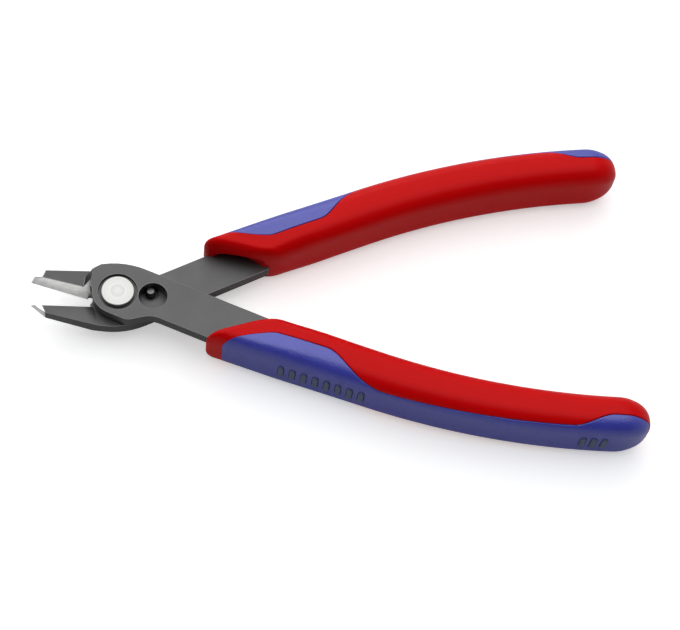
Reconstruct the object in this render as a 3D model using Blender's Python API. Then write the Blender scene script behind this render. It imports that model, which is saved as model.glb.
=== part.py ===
"""Flush-cutting pliers: two lap-jointed levers on a rivet, each in a two-colour moulded grip.

Every piece is drawn with the pliers closed: the pivot on the Z axis, the tool's mid-plane at Z = 0,
the jaws towards -X and the front lever's handle towards -Y.  Two empties on the pivot then turn the
halves apart, and the whole tool is set down on its grips.
"""

import math

import bmesh
import bpy
from mathutils import Matrix, Vector

MM = 0.001

# The tool lies open against its stop.
OPENING = math.radians(16.6)

# Fits between pieces.
CLEARANCE = 0.15 * MM
MOULD_LINE = 0.10 * MM
LAP_GAP = 0.30 * MM
EYE_RUNNING_GAP = 0.30 * MM
EDGE_GAP = 0.05 * MM

# Levers: lapped plates, each with an eye round the rivet, an arm, and a tang inside its grip.
PLATE = 2.85 * MM
EYE_RADIUS = 5.65 * MM
ARM_ANGLE = math.radians(16.5)
ARM_WIDTH = 9.9 * MM
ARM_OFFSET = 2.7 * MM
ARM_INNER_LENGTH = 33.8 * MM
ARM_OUTER_LENGTH = 23.8 * MM
REAR_ARM_TRIM = 0.8 * MM
HEAD_FILLET = 17.0 * MM
WAIST_FILLET = 6.0 * MM
HEEL_FILLET = 3.0 * MM
HEEL_LENGTH = 4.9 * MM
HEEL_RUN = 4.4 * MM
TANG_START = 34.0 * MM
TANG_LENGTH = 28.0 * MM
TANG_WIDTH = 4.2 * MM
TANG_SHOULDER = 2.8 * MM

# Jaws: bent up from the plates, ground flat below and bevelled above.
TIP_REACH = 19.4 * MM
TIP_DEPTH = 3.0 * MM
TIP_CUT = math.radians(45.0)
TIP_HEIGHT = 1.44 * MM
TIP_CHAMFER = math.radians(8.0)
TIP_CHAMFER_TURN = math.radians(45.0)
JAW_FLARE = math.radians(15.8)
FLUSH_START = 6.55 * MM
FLUSH_TILT = math.radians(20.0)
TOP_TILT = math.radians(16.5)
JAW_ROOT = 7.9 * MM
JAW_ROOT_HEIGHT = 0.6 * MM
JAW_ROOT_ANGLE = math.radians(130.0)
NECK_RUN = 1.6 * MM
NECK_CORNER = 1.6 * MM
BEVEL = math.radians(24.5)
THROAT_RADIUS = 0.55 * MM
EYE_ROOM_STEP = 0.7 * MM

# Rivet, opening stop and the spring round the rivet's shank.
RIVET_HEAD = 3.7 * MM
RIVET_SHANK = 2.6 * MM
RIVET_SEAT = 1.0 * MM
RIVET_PROUD = 0.35 * MM
RIVET_EDGE = 0.30 * MM
COUNTERBORE = 4.4 * MM
WINDOW_RADIUS = 3.2 * MM
WINDOW_REACH = 7.87 * MM
STOP_REACH = 7.35 * MM
STOP_RADIUS = 0.90 * MM
STOP_RISE = 1.3 * MM
STOP_EDGE = 0.15 * MM
STOP_DEPTH = 2.0 * MM
WELL_RADIUS = 1.9 * MM
WELL_DEPTH = 0.7 * MM
SPRING_WIRE = 0.45 * MM
SPRING_RADIUS = 3.6 * MM
SPRING_TURNS = 1.75
SPRING_PITCH = 0.95 * MM
SPRING_LEG = 0.7 * MM
SPRING_GAP = 0.20 * MM

# Grips: a bar that curves back to the tool's axis, with an oblique front that the arm enters.
GRIP_THICKNESS = 14.6 * MM
GRIP_NOSE_BACK = 20.5 * MM
GRIP_NOSE_OUT = 9.41 * MM
GRIP_SLOPE = math.radians(12.1)
GRIP_STRAIGHT = 38.0 * MM
GRIP_BEND = 186.0 * MM
GRIP_LENGTH = 101.6 * MM
GRIP_WIDTH_FRONT = 10.3 * MM
GRIP_WIDTH_REAR = 9.4 * MM
GRIP_ROUND = 3.9 * MM
FRONT_LEAD = 15.0 * MM
FRONT_FADE = 35.0 * MM
FRONT_START = 1.5 * MM
FRONT_CROWN = 4.0 * MM
FRONT_DROP = 0.8 * MM
FRONT_DROP_RUN = 20.0 * MM
REAR_ROUND = 8.0 * MM
CROWN_SQUARENESS = 2.2
WIDEST_ROUND = 0.45
TALLEST_ROUND = 0.9
MOUTH_DEPTH = 2.6 * MM
MOUTH_HEIGHT = 6.6 * MM
MOUTH_SHARE = 0.3

# Soft panel: a skin over the grip's outer edge, lapping onto the faces at both ends.
# Its reach over the face is a share of the way round from the outer edge to the inner one.
PANEL_THICKNESS = 1.4 * MM
FRONT_LOBE_SHARE = 0.52
WAIST_SHARE = 0.205
HIP_SHARE = 0.30
REAR_LOBE_SHARE = 0.455
PANEL_NOSE_SHARE = 0.08
PANEL_TAIL_SHARE = 0.36
PANEL_START = 4.2 * MM
PANEL_START_ROUND = 7.0 * MM
FRONT_LOBE_END = 24.5 * MM
FRONT_LOBE_FADE = 15.0 * MM
REAR_LOBE_REACH = 18.6 * MM
REAR_LOBE_FADE = 9.5 * MM
PANEL_END = 0.8 * MM
PANEL_END_ROUND = 6.0 * MM

# Finger studs set into the panel's outer edge.
STUD_LENGTH = 4.3 * MM
STUD_WIDTH = 1.35 * MM
STUD_DEPTH = 0.7 * MM
STUD_PROUD = 0.35 * MM
STUD_POCKET_PROUD = 4.0 * MM
STUD_ROUND = 0.30 * MM
FRONT_STUDS = 8
FRONT_STUD_START = 17.9 * MM
FRONT_STUD_PITCH = 2.65 * MM
REAR_STUDS = 3
REAR_STUD_REACH = 15.3 * MM
REAR_STUD_PITCH = 2.4 * MM

# Facet counts, the places of the rings on the crowned ends, and the angle of a visible edge.
ARC_STEPS = 6
ROUND_STEPS = 40
CORNER_STEPS = 4
STUD_STEPS = 4
SPRING_STEPS = 16
SHAPED_STATIONS = 6
FRONT_CROWN_RINGS = (0.97, 0.85, 0.6, 0.3, 0.0)
REAR_CROWN_RINGS = (0.45, 0.75, 0.93)
SHARP_ANGLE = math.radians(30.0)

# Heights that follow from the sizes above, measured from the mid-plane.
PLATE_LOW = LAP_GAP / 2
PLATE_HIGH = PLATE_LOW + PLATE
HALF_GRIP = GRIP_THICKNESS / 2
SPRING_RISE = SPRING_TURNS * SPRING_PITCH / 2
POCKET_TOP = SPRING_RISE + SPRING_WIRE / 2 + SPRING_GAP

# Where the panel's rear lobe and the rear studs start, measured from the grip's nose.
REAR_LOBE_START = GRIP_LENGTH - REAR_LOBE_REACH
REAR_STUD_START = GRIP_LENGTH - REAR_STUD_REACH

# A reach past every piece, the spacing that counts as one point, and the step between joined faces.
BEYOND = 40.0 * MM
SAME_POINT = 0.00001 * MM
WELD = 0.0005 * MM
SINK = 0.02 * MM


def clear_scene():
    for thing in list(bpy.data.objects):
        bpy.data.objects.remove(thing, do_unlink=True)


def make_material(name, colour, roughness, metallic):
    made = bpy.data.materials.new(name)
    made.use_nodes = True
    made.diffuse_color = (*colour, 1.0)
    shader = made.node_tree.nodes["Principled BSDF"]
    shader.inputs["Base Color"].default_value = (*colour, 1.0)
    shader.inputs["Roughness"].default_value = roughness
    shader.inputs["Metallic"].default_value = metallic
    return made


def link(name, data):
    made = bpy.data.objects.new(name, data)
    bpy.context.scene.collection.objects.link(made)
    return made


def solid_from(name, bm):
    """Closes a bmesh into an object whose faces point out."""
    bmesh.ops.remove_doubles(bm, verts=bm.verts, dist=SAME_POINT)
    bmesh.ops.recalc_face_normals(bm, faces=bm.faces)
    mesh = bpy.data.meshes.new(name)
    bm.to_mesh(mesh)
    bm.free()
    return link(name, mesh)


def combine(target, tools, operation):
    """Cuts the tools from the target, or joins them to it, and removes them."""
    for tool in tools:
        modifier = target.modifiers.new(operation.lower(), "BOOLEAN")
        modifier.operation = operation
        modifier.solver = "EXACT"
        modifier.object = tool
        bpy.context.view_layer.update()
        graph = bpy.context.evaluated_depsgraph_get()
        result = bpy.data.meshes.new_from_object(target.evaluated_get(graph))
        target.modifiers.clear()
        target.data = result
        bpy.data.objects.remove(tool, do_unlink=True)
        weld(result)
    return target


def weld(mesh):
    """Joins the points that a cut leaves on top of each other."""
    bm = bmesh.new()
    bm.from_mesh(mesh)
    bmesh.ops.remove_doubles(bm, verts=bm.verts, dist=WELD)
    bmesh.ops.dissolve_degenerate(bm, edges=bm.edges, dist=WELD)
    bm.to_mesh(mesh)
    bm.free()


def filleted(corners):
    """The outline through (x, y, radius) corners, with an arc wherever the radius isn't zero."""
    points = []
    for index, (x, y, radius) in enumerate(corners):
        here = Vector((x, y))
        if radius == 0:
            points.append(here)
            continue
        before = (Vector(corners[index - 1][:2]) - here).normalized()
        after = (Vector(corners[(index + 1) % len(corners)][:2]) - here).normalized()
        half = before.angle(after) / 2
        reach = radius / math.tan(half)
        centre = here + (before + after).normalized() * (radius / math.sin(half))
        start = here + before * reach - centre
        finish = here + after * reach - centre
        turn = math.atan2(start.x * finish.y - start.y * finish.x, start.dot(finish))
        for step in range(ARC_STEPS + 1):
            points.append(centre + Matrix.Rotation(turn * step / ARC_STEPS, 2) @ start)
    return points


def prism(name, outline, low, high):
    """An outline carried up from one height to another."""
    bm = bmesh.new()
    floor = [bm.verts.new((point[0], point[1], low)) for point in outline]
    roof = [bm.verts.new((point[0], point[1], high)) for point in outline]
    bm.faces.new(floor)
    bm.faces.new(roof)
    for index in range(len(floor)):
        bm.faces.new((floor[index - 1], floor[index], roof[index], roof[index - 1]))
    return solid_from(name, bm)


def turned(name, profile, centre=(0.0, 0.0)):
    """A solid turned about a vertical axis from (radius, height) points, lowest first."""
    rings = []
    for radius, height in profile:
        ring = []
        for step in range(ROUND_STEPS):
            angle = 2 * math.pi * step / ROUND_STEPS
            across = Vector((math.cos(angle), math.sin(angle), 0.0)) * radius
            ring.append(Vector((centre[0], centre[1], height)) + across)
        rings.append(ring)
    return loft(name, rings)


def drum(name, radius, low, high, centre=(0.0, 0.0)):
    return turned(name, [(radius, low), (radius, high)], centre)


def loft(name, rings):
    """A closed skin through rings of points, capped at both ends.  Points of a ring may coincide.

    Each twisted quad is split along its shorter diagonal, so neighbours lofted alike stay apart.
    """
    bm = bmesh.new()
    skin = []
    for ring in rings:
        verts = []
        for point in ring:
            same = verts and (verts[-1].co - point).length < SAME_POINT
            verts.append(verts[-1] if same else bm.verts.new(point))
        if (verts[-1].co - verts[0].co).length < SAME_POINT:
            verts[-1] = verts[0]
        skin.append(verts)
    for low, high in zip(skin, skin[1:]):
        for index in range(len(low)):
            corners = (low[index - 1], low[index], high[index], high[index - 1])
            face = list(dict.fromkeys(corners))
            if len(face) > 2:
                bm.faces.new(face)
    bmesh.ops.triangulate(bm, faces=bm.faces, quad_method="SHORT_EDGE")
    for end in (skin[0], skin[-1]):
        bm.faces.new(list(dict.fromkeys(end)))
    return solid_from(name, bm)


def trimmed_block(name, low, high, planes):
    """A box trimmed by planes, each a point and an outward normal."""
    bm = bmesh.new()
    bmesh.ops.create_cube(bm, size=1.0)
    bmesh.ops.scale(bm, vec=Vector(high) - Vector(low), verts=bm.verts)
    bmesh.ops.translate(bm, vec=(Vector(high) + Vector(low)) / 2, verts=bm.verts)
    for point, normal in planes:
        shape = list(bm.verts) + list(bm.edges) + list(bm.faces)
        bmesh.ops.bisect_plane(bm, geom=shape, plane_co=point, plane_no=normal, clear_outer=True)
        bmesh.ops.holes_fill(bm, edges=[edge for edge in bm.edges if edge.is_boundary])
    return solid_from(name, bm)


def arm_point(along, across):
    """A point of the front arm, measured from the pivot along and across the arm."""
    x = along * math.cos(ARM_ANGLE) + across * math.sin(ARM_ANGLE)
    y = across * math.cos(ARM_ANGLE) - along * math.sin(ARM_ANGLE)
    return Vector((x, y))


def tip_corner():
    """The outer corner of the front jaw's tip."""
    return Vector((TIP_DEPTH / math.tan(TIP_CUT) - TIP_REACH, TIP_DEPTH))


def jaw_edge(x):
    """The height in Y of the front jaw's outer edge."""
    corner = tip_corner()
    return corner.y + (x - corner.x) * math.tan(JAW_FLARE)


def head_corner():
    """Where the jaw's outer edge and the arm's inner edge would meet over the pivot."""
    start = (ARM_OFFSET + ARM_WIDTH / 2) / math.cos(ARM_ANGLE)
    x = (start - jaw_edge(0.0)) / (math.tan(JAW_FLARE) + math.tan(ARM_ANGLE))
    return Vector((x, jaw_edge(x)))


def tang_point(along, across):
    root = arm_point(TANG_START, ARM_OFFSET)
    heading = Vector((math.cos(GRIP_SLOPE), -math.sin(GRIP_SLOPE)))
    return root + along * heading + across * Vector((-heading.y, heading.x))


def neck_corner():
    """The two ends of the bevelled corner where the neck meets the jaw's outer edge."""
    rim = NECK_RUN - JAW_ROOT
    end = rim + NECK_CORNER
    return Vector((rim, jaw_edge(rim) - NECK_CORNER / 2)), Vector((end, jaw_edge(end)))


def lever_outline(grow=0.0, trim=0.0, necked=True):
    """The front plate seen from above.

    It is swollen by a clearance where it sits in the grip, or trimmed along the arm's outer edge.
    Without a neck its head runs straight on from the jaw's outer edge.
    """
    inner = ARM_OFFSET + ARM_WIDTH / 2 + grow
    outer = ARM_OFFSET - ARM_WIDTH / 2 - grow + trim
    half_tang = TANG_WIDTH / 2 + grow
    rim, edge = neck_corner()
    if not necked:
        rim = Vector((rim.x, jaw_edge(rim.x)))
    corners = [
        (*rim, 0),
        (*edge, 0),
        (*(head_corner() + arm_point(0, grow)), HEAD_FILLET),
        (*arm_point(ARM_INNER_LENGTH + grow, inner), 0),
        (*tang_point(TANG_SHOULDER, half_tang), 0),
        (*tang_point(TANG_LENGTH + grow, half_tang), 0),
        (*tang_point(TANG_LENGTH + grow, -half_tang), 0),
        (*tang_point(0.0, -half_tang), 0),
        (*(arm_point(ARM_OUTER_LENGTH, outer) + tang_point(0, -half_tang)) / 2, 0),
        (*arm_point(ARM_OUTER_LENGTH + grow, outer), 0),
        (*arm_point(HEEL_LENGTH + HEEL_RUN, outer), WAIST_FILLET),
        (*arm_point(HEEL_LENGTH, -EYE_RADIUS), HEEL_FILLET),
        (*arm_point(0, -EYE_RADIUS), 0),
    ]
    outline = filleted(corners)
    first = -math.pi / 2 - ARM_ANGLE
    for step in range(1, 2 * ARC_STEPS + 1):
        angle = first - (first + math.pi) * step / (2 * ARC_STEPS)
        outline.append(EYE_RADIUS * Vector((math.cos(angle), math.sin(angle))))
    outline.append(Vector((rim.x, 2 * EDGE_GAP)))
    return outline


def flush_plane():
    """The ground underside shared by both jaws."""
    return (-FLUSH_START, 0, -PLATE_HIGH), (-math.sin(FLUSH_TILT), 0, -math.cos(FLUSH_TILT))


def jaw_planes(side):
    """The planes of one jaw; side is 1 for the front jaw and -1 for the rear."""
    edge_x = -TIP_REACH
    edge_z = (TIP_REACH - FLUSH_START) * math.tan(FLUSH_TILT) - PLATE_HIGH
    edge = (edge_x, side * EDGE_GAP, edge_z)
    corner = tip_corner()
    bevel = (
        math.sin(BEVEL) * math.sin(FLUSH_TILT),
        -side * math.cos(BEVEL),
        math.sin(BEVEL) * math.cos(FLUSH_TILT),
    )
    chamfer = (
        -math.sin(TIP_CHAMFER) * math.cos(TIP_CHAMFER_TURN),
        side * math.sin(TIP_CHAMFER) * math.sin(TIP_CHAMFER_TURN),
        math.cos(TIP_CHAMFER),
    )
    outer = (-math.sin(JAW_FLARE), side * math.cos(JAW_FLARE), 0)
    root = (math.sin(JAW_ROOT_ANGLE), -side * math.cos(JAW_ROOT_ANGLE), 0)
    return {
        "flush": flush_plane(),
        "floor": ((0, 0, SINK - PLATE_HIGH), (0, 0, -1)),
        "inner": (edge, (0, -side, 0)),
        "outer": ((corner.x, side * corner.y, 0), outer),
        "root": ((0, 0, 0), root),
        "top": ((-JAW_ROOT, 0, JAW_ROOT_HEIGHT), (math.sin(TOP_TILT), 0, math.cos(TOP_TILT))),
        "tip": (edge, (-math.sin(TIP_CUT), side * math.cos(TIP_CUT), 0)),
        "chamfer": ((edge_x, 0, edge_z + TIP_HEIGHT), chamfer),
        "bevel": (edge, bevel),
    }


def jaw(name, side):
    """One blade: a bent slab with its tip, bevel and root cut by planes."""
    planes = jaw_planes(side)
    low = (-BEYOND, -BEYOND, -BEYOND)
    return trimmed_block(name, low, (0, BEYOND, BEYOND), list(planes.values()))


def neck(name, side):
    """The sloped step from the front jaw's face up to the eye, ground with the jaw's bevel."""
    planes = jaw_planes(side)
    rise = PLATE_HIGH - JAW_ROOT_HEIGHT
    slope = ((-JAW_ROOT, 0, JAW_ROOT_HEIGHT), (-rise, 0, NECK_RUN))
    rim, edge = neck_corner()
    corner = ((*rim, 0), (rim.y - edge.y, edge.x - rim.x, 0))
    kept = [planes[key] for key in ("flush", "floor", "inner", "outer", "root", "bevel")]
    low = (-BEYOND, -BEYOND, -BEYOND)
    return trimmed_block(name, low, (0, BEYOND, PLATE_HIGH - SINK), kept + [slope, corner])


def bored(lever, side):
    """Cuts the rivet's hole and seat, and the spring's half pocket with its leg hole.

    The spring lies with the front lever, so the rear lever's leg hole is turned to meet it when open.
    """
    hole = drum("hole", RIVET_SHANK + CLEARANCE, -BEYOND, BEYOND)
    seat_low, seat_high = sorted((side * (PLATE_HIGH - RIVET_SEAT), side * BEYOND))
    seat = drum("seat", COUNTERBORE, seat_low, seat_high)
    reach = SPRING_WIRE / 2 + SPRING_GAP
    pocket = drum("pocket", SPRING_RADIUS + reach, -POCKET_TOP, POCKET_TOP)
    post = drum("post", SPRING_RADIUS - reach, -BEYOND, BEYOND)
    combine(pocket, [post], "DIFFERENCE")
    leg_low, leg_high = sorted((0.0, side * (SPRING_RISE + SPRING_LEG + SPRING_GAP)))
    place = spring_point(1)
    if side < 0:
        place = Matrix.Rotation(-OPENING, 3, "Z") @ spring_point(0)
    leg = drum("leg", SPRING_WIRE / 2 + CLEARANCE, leg_low, leg_high, place[:2])
    return combine(lever, [hole, seat, pocket, leg], "DIFFERENCE")


def throat():
    """The round relief between the roots of the cutting edges and the eye."""
    reach = EYE_RADIUS + EYE_RUNNING_GAP / 2 + THROAT_RADIUS
    return drum("throat", THROAT_RADIUS, -BEYOND, BEYOND, (-reach, 0))


def front_lever():
    plate = prism("front_lever", lever_outline(), PLATE_LOW, PLATE_HIGH)
    blade = combine(jaw("blade", 1), [neck("neck", 1)], "UNION")
    eye_room = drum("eye_room", EYE_RADIUS + EYE_RUNNING_GAP, -BEYOND, PLATE_LOW + EYE_ROOM_STEP)
    combine(blade, [eye_room], "DIFFERENCE")
    combine(plate, [blade], "UNION")
    window = drum("window", WINDOW_RADIUS, -BEYOND, BEYOND, (WINDOW_REACH, 0))
    return combine(bored(plate, 1), [throat(), window], "DIFFERENCE")


def rear_lever():
    outline = [(x, -y) for x, y in lever_outline(trim=REAR_ARM_TRIM, necked=False)]
    plate = prism("rear_lever", outline, -PLATE_HIGH, -PLATE_LOW)
    point, normal = flush_plane()
    under = trimmed_block("under", (-BEYOND,) * 3, (BEYOND,) * 3, [(point, tuple(-n for n in normal))])
    combine(plate, [under], "DIFFERENCE")
    blade = jaw("blade", -1)
    eye_room = drum("eye_room", EYE_RADIUS + EYE_RUNNING_GAP, -PLATE_LOW - EYE_ROOM_STEP, BEYOND)
    combine(blade, [eye_room], "DIFFERENCE")
    combine(plate, [blade], "UNION")
    well = drum("well", WELL_RADIUS, -PLATE_LOW - WELL_DEPTH, BEYOND, (STOP_REACH, 0))
    bore = drum("bore", STOP_RADIUS + CLEARANCE, -PLATE_LOW - STOP_DEPTH - CLEARANCE, 0, (STOP_REACH, 0))
    return combine(bored(plate, -1), [throat(), well, bore], "DIFFERENCE")


def pivot_rivet():
    top = PLATE_HIGH + RIVET_PROUD
    seat = PLATE_HIGH - RIVET_SEAT + CLEARANCE
    upper = [(RIVET_HEAD, seat), (RIVET_HEAD, top - RIVET_EDGE), (RIVET_HEAD - RIVET_EDGE, top)]
    lower = [(radius, -height) for radius, height in reversed(upper)]
    shank = [(RIVET_SHANK, -seat), (RIVET_SHANK, seat)]
    return turned("pivot_rivet", lower + shank + upper)


def stop_pin():
    foot = -PLATE_LOW - STOP_DEPTH
    profile = [
        (STOP_RADIUS, foot),
        (STOP_RADIUS, STOP_RISE - STOP_EDGE),
        (STOP_RADIUS - STOP_EDGE, STOP_RISE),
    ]
    return turned("stop_pin", profile, (STOP_REACH, 0))


def spring_point(share):
    """A point of the spring's coil, from its lower end to its upper."""
    angle = math.pi + 2 * math.pi * SPRING_TURNS * share
    rise = SPRING_RISE * (2 * share - 1)
    return Vector((SPRING_RADIUS * math.cos(angle), SPRING_RADIUS * math.sin(angle), rise))


def opening_spring():
    """A wire coil round the rivet, with one leg down into the rear lever and one up into the front."""
    steps = round(SPRING_STEPS * SPRING_TURNS)
    coil = [spring_point(step / steps) for step in range(steps + 1)]
    leg = Vector((0, 0, SPRING_LEG))
    route = [coil[0] - leg] + coil + [coil[-1] + leg]
    curve = bpy.data.curves.new("opening_spring", "CURVE")
    curve.dimensions = "3D"
    curve.bevel_depth = SPRING_WIRE / 2
    curve.bevel_resolution = 1
    curve.use_fill_caps = True
    spline = curve.splines.new("POLY")
    spline.points.add(len(route) - 1)
    for point, place in zip(spline.points, route):
        point.co = (*place, 1.0)
    print(f"least gap in the spring {(SPRING_PITCH - SPRING_WIRE) / MM:.2f} mm")
    return link("opening_spring", curve)


def outer_edge(along):
    """The point and heading of the grip's outer edge at a distance from its nose."""
    straight = min(along, GRIP_STRAIGHT)
    heading = (along - straight) / GRIP_BEND - GRIP_SLOPE
    x = GRIP_NOSE_BACK + straight * math.cos(GRIP_SLOPE)
    y = -GRIP_NOSE_OUT - straight * math.sin(GRIP_SLOPE)
    x += GRIP_BEND * (math.sin(heading) + math.sin(GRIP_SLOPE))
    y += GRIP_BEND * (math.cos(GRIP_SLOPE) - math.cos(heading))
    return Vector((x, y)), heading


def inner_edge(along):
    point, heading = outer_edge(along)
    width = GRIP_WIDTH_FRONT + (GRIP_WIDTH_REAR - GRIP_WIDTH_FRONT) * along / GRIP_LENGTH
    return point + width * Vector((-math.sin(heading), math.cos(heading)))


def station(along):
    """Outer point, inner point and half height of the grip; both ends are crowned.

    The front stations lie obliquely: their inner points lead, by less and less along the grip.
    """
    body = min(max(along, FRONT_START), GRIP_LENGTH - REAR_ROUND)
    lead = FRONT_LEAD * max(0.0, 1 - body / FRONT_FADE)
    outer, heading = outer_edge(body)
    inner = inner_edge(body + lead)
    middle = (outer + inner) / 2
    crown = FRONT_CROWN if along < body else REAR_ROUND
    past = abs(along - body) / crown
    shrink = (1 - past**CROWN_SQUARENESS) ** (1 / CROWN_SQUARENESS)
    middle += Vector((math.cos(heading), math.sin(heading))) * (along - body)
    half_span = (inner - outer) / 2 * shrink
    height = HALF_GRIP - FRONT_DROP * (1 - ease(body / FRONT_DROP_RUN))
    return middle - half_span, middle + half_span, height * shrink


class Section:
    """The grip's rounded section at one station, walked from its outer edge over the top."""

    def __init__(self, along):
        self.outer, inner, self.half = station(along)
        self.width = (inner - self.outer).length
        self.across = (inner - self.outer) / self.width
        self.round = min(GRIP_ROUND, WIDEST_ROUND * self.width, TALLEST_ROUND * self.half)
        self.panel = min(PANEL_THICKNESS, self.round / 2)
        self.side = self.half - self.round
        self.arc = math.pi * self.round / 2
        self.flat = self.width - 2 * self.round
        self.length = 2 * self.side + 2 * self.arc + self.flat

    def stops(self):
        """The distances round the half section where its facets meet."""
        corner = [self.arc * step / CORNER_STEPS for step in range(CORNER_STEPS + 1)]
        first = [self.side + step for step in corner]
        second = [first[-1] + self.flat + step for step in corner]
        return [0.0, *first, first[-1] + self.flat / 2, *second, self.length]

    def point(self, walked, depth):
        """The point at a distance round the half section, sunk by a depth."""
        near_end = walked > self.length / 2
        if near_end:
            walked = self.length - walked
        rounding = self.round - depth
        angle = min(max(walked - self.side, 0.0), self.arc) / self.round
        across = self.round - rounding * math.cos(angle)
        across += max(walked - self.side - self.arc, 0.0)
        height = min(walked, self.side) + rounding * math.sin(angle)
        if near_end:
            across = self.width - across
        place = self.outer + self.across * across
        return Vector((place.x, place.y, height))


def mirrored(points):
    """The points below the mid-plane, walked back the other way."""
    return [Vector((p.x, p.y, -p.z)) for p in reversed(points)]


def ease(value):
    value = min(max(value, 0.0), 1.0)
    return value * value * (3 - 2 * value)


def rounded(distance, run, share, lobe):
    """A share that grows from a rounded end of the panel to the full width of its lobe."""
    left = 1 - min(distance / run, 1.0)
    return share + (lobe - share) * math.sqrt(1 - left * left)


def panel_share(along):
    """How far round the half section the panel reaches: two lobes joined by a band that widens."""
    nose = rounded(along - PANEL_START, PANEL_START_ROUND, PANEL_NOSE_SHARE, FRONT_LOBE_SHARE)
    tail = rounded(GRIP_LENGTH - PANEL_END - along, PANEL_END_ROUND, PANEL_TAIL_SHARE, REAR_LOBE_SHARE)
    waist = FRONT_LOBE_END + FRONT_LOBE_FADE
    passed = (along - waist) / (REAR_LOBE_START - waist)
    band = WAIST_SHARE + (HIP_SHARE - WAIST_SHARE) * min(max(passed, 0.0), 1.0)
    front = (FRONT_LOBE_SHARE - band) * (1 - ease((along - FRONT_LOBE_END) / FRONT_LOBE_FADE))
    rear = (REAR_LOBE_SHARE - band) * ease((along - REAR_LOBE_START) / REAR_LOBE_FADE)
    return min(nose, tail, band + front + rear)


def spread(first, last, count):
    return [first + (last - first) * step / count for step in range(count + 1)]


def curved_spread(first, last, count):
    """Stations from a rounded end, closest together at that end."""
    quarter = math.pi / 2 / count
    return [first + (last - first) * (1 - math.cos(quarter * step)) for step in range(count + 1)]


def panel_stations():
    """Stations along the panel, close together where its edge curves."""
    last = GRIP_LENGTH - PANEL_END
    stations = curved_spread(PANEL_START, PANEL_START + PANEL_START_ROUND, SHAPED_STATIONS)
    stations += spread(PANEL_START + PANEL_START_ROUND, FRONT_LOBE_END, SHAPED_STATIONS // 2)[1:-1]
    stations += spread(FRONT_LOBE_END, FRONT_LOBE_END + FRONT_LOBE_FADE, SHAPED_STATIONS)
    stations += spread(FRONT_LOBE_END + FRONT_LOBE_FADE, REAR_LOBE_START, SHAPED_STATIONS)[1:-1]
    stations += spread(REAR_LOBE_START, REAR_LOBE_START + REAR_LOBE_FADE, SHAPED_STATIONS)
    stations += curved_spread(last, last - PANEL_END_ROUND, SHAPED_STATIONS)
    stations.append(GRIP_LENGTH - REAR_ROUND)
    return sorted(set(stations))


def panel_ring(along):
    """The panel's section: its skin from below to above, then back along its underside."""
    section = Section(along)
    reach = panel_share(along) * section.length
    stops = [min(stop, reach) for stop in section.stops()]
    skin = [section.point(stop, 0.0) for stop in stops]
    under = [section.point(stop, section.panel) for stop in stops]
    return mirrored(skin) + skin + list(reversed(under)) + list(reversed(mirrored(under)))


def core_ring(along, rebated):
    """The core's section, stepped in under the panel where it is rebated."""
    section = Section(along)
    nearest = min(max(along, PANEL_START), GRIP_LENGTH - PANEL_END)
    reach = panel_share(nearest) * section.length + MOULD_LINE
    depth = section.panel + MOULD_LINE if rebated else 0.0
    floor = [section.point(min(stop, reach), depth) for stop in section.stops()]
    skin = [section.point(max(stop, reach), 0.0) for stop in section.stops()]
    upper = floor + skin
    return upper + mirrored(upper)


def grip_panel():
    panel = loft("front_grip_panel", [panel_ring(along) for along in panel_stations()])
    pockets = []
    for along in stud_places():
        pocket = stud_body("pocket", MOULD_LINE, STUD_DEPTH + MOULD_LINE, STUD_POCKET_PROUD)
        place_on_edge(pocket, along)
        pocket.data.transform(pocket.matrix_basis)
        pocket.matrix_basis = Matrix.Identity(4)
        pockets.append(pocket)
    return combine(panel, pockets, "DIFFERENCE")


def grip_core():
    stations = panel_stations()
    first = stations[0] - MOULD_LINE
    last = stations[-1] + MOULD_LINE
    rings = [core_ring(FRONT_START - FRONT_CROWN * share, False) for share in FRONT_CROWN_RINGS]
    rings.append(core_ring(first, False))
    rings += [core_ring(along, True) for along in [first, *stations, last]]
    rings.append(core_ring(last, False))
    rest = GRIP_LENGTH - last
    rings += [core_ring(last + rest * share, False) for share in REAR_CROWN_RINGS]
    core = loft("front_grip_core", rings)
    tang = prism("tang_room", lever_outline(CLEARANCE), PLATE_LOW - CLEARANCE, PLATE_HIGH + CLEARANCE)
    return combine(core, [mouth_cutter(), tang], "DIFFERENCE")


def mouth_cutter():
    """The tall recess behind the grip's front, open from a share of its width to the arm's inner edge."""
    outer, inner, _ = station(FRONT_START)
    across = inner - outer
    back = Vector((across.y, -across.x)).normalized() * (MOUTH_DEPTH - FRONT_START)
    wide = ARM_WIDTH / 2 + CLEARANCE
    wall = PANEL_THICKNESS + MOULD_LINE + CLEARANCE
    solid_end = outer + across * MOUTH_SHARE + back
    corners = [
        solid_end - arm_point(ARM_OUTER_LENGTH, 0),
        solid_end,
        inner + back - across.normalized() * wall,
        arm_point(ARM_INNER_LENGTH + CLEARANCE, ARM_OFFSET + wide),
        arm_point(HEEL_LENGTH, ARM_OFFSET + wide),
    ]
    return prism("mouth", corners, -MOUTH_HEIGHT / 2, MOUTH_HEIGHT / 2)


def stud_places():
    front = [FRONT_STUD_START + FRONT_STUD_PITCH * index for index in range(FRONT_STUDS)]
    rear = [REAR_STUD_START + REAR_STUD_PITCH * index for index in range(REAR_STUDS)]
    return front + rear


def stadium(grow):
    """A slot-shaped loop in X and Z."""
    radius = STUD_WIDTH / 2 + grow
    straight = (STUD_LENGTH - STUD_WIDTH) / 2
    loop = []
    for end in (1, -1):
        for step in range(STUD_STEPS + 1):
            angle = math.pi * step / STUD_STEPS + (0 if end > 0 else math.pi)
            loop.append((radius * math.cos(angle), end * straight + radius * math.sin(angle)))
    return loop


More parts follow.
